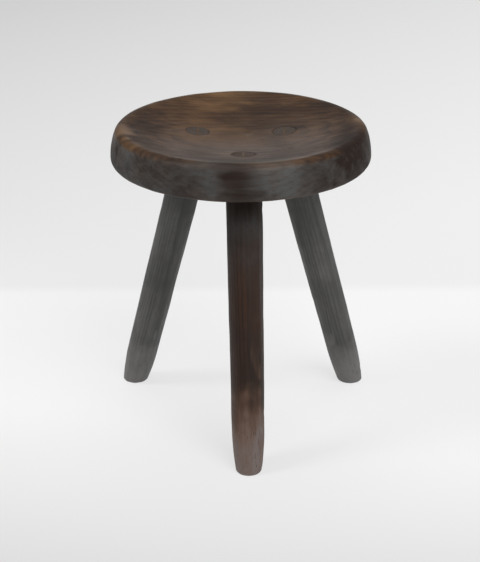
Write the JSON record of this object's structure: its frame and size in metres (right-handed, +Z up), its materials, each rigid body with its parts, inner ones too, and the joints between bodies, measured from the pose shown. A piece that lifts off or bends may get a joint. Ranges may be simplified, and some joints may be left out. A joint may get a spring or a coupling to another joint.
{
  "type": "three-legged stool",
  "caption": "Low round wooden stool with a thick dished seat, a rolled rim and splayed round legs wedged through the seat.",
  "frame": {"origin": "on the floor, on the seat's centre line from side to side, midway between the front foot's outer edge and the seat's back edge", "axes": "+Z up, -Y towards the front leg, +X to the right as seen from the front"},
  "size_m": [0.3661, 0.3855, 0.436],
  "materials": {
    "seat_wood": "dark waxed patina, soft gloss",
    "front_leg_wood": "dark waxed patina, worn paler at the foot",
    "rear_leg_wood": "dark grey-brown patina, matt",
    "wedge_wood": "dark waxed end grain"
  },
  "bodies": {
    "root": {"seat": "seat_wood", "leg_front": "front_leg_wood", "leg_right": "rear_leg_wood", "leg_left": "rear_leg_wood", "wedge_front": "wedge_wood", "wedge_right": "wedge_wood", "wedge_left": "wedge_wood"}
  },
  "joints": []
}
